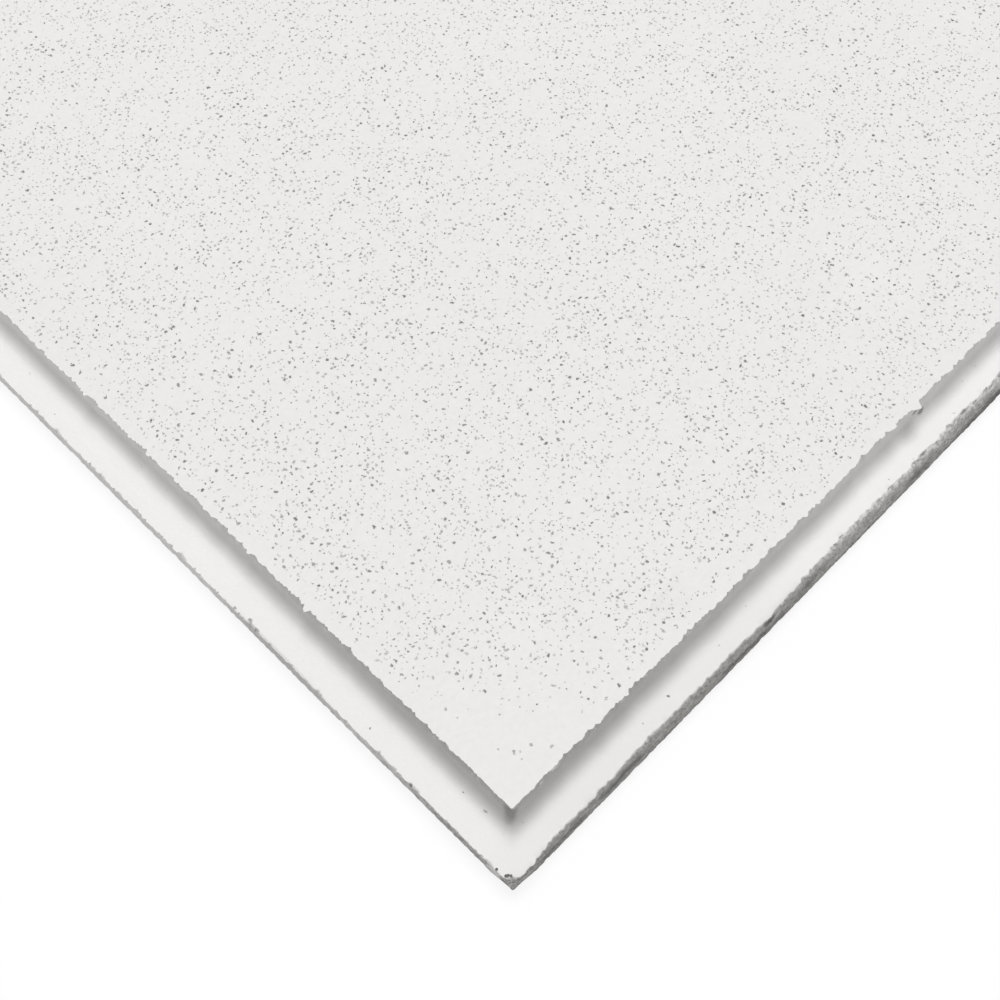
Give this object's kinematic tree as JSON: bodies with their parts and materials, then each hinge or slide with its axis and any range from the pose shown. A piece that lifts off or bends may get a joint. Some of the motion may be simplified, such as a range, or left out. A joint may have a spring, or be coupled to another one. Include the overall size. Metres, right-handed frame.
{
  "type": "suspended ceiling tile",
  "caption": "Square mineral fibre lay-in ceiling tile with a finely pitted white face and a rebated edge whose ledge rests on a suspended grid.",
  "frame": {"origin": "centre of the tile's back, on the surface that it lies on", "axes": "+Z out of the painted face, +X along the tile's front edge to the right, +Y along its left edge away from the viewer"},
  "size_m": [0.595, 0.595, 0.015],
  "materials": {
    "painted_fibre": "matte"
  },
  "bodies": {
    "root": {"ceiling_tile": "painted_fibre"}
  },
  "joints": []
}
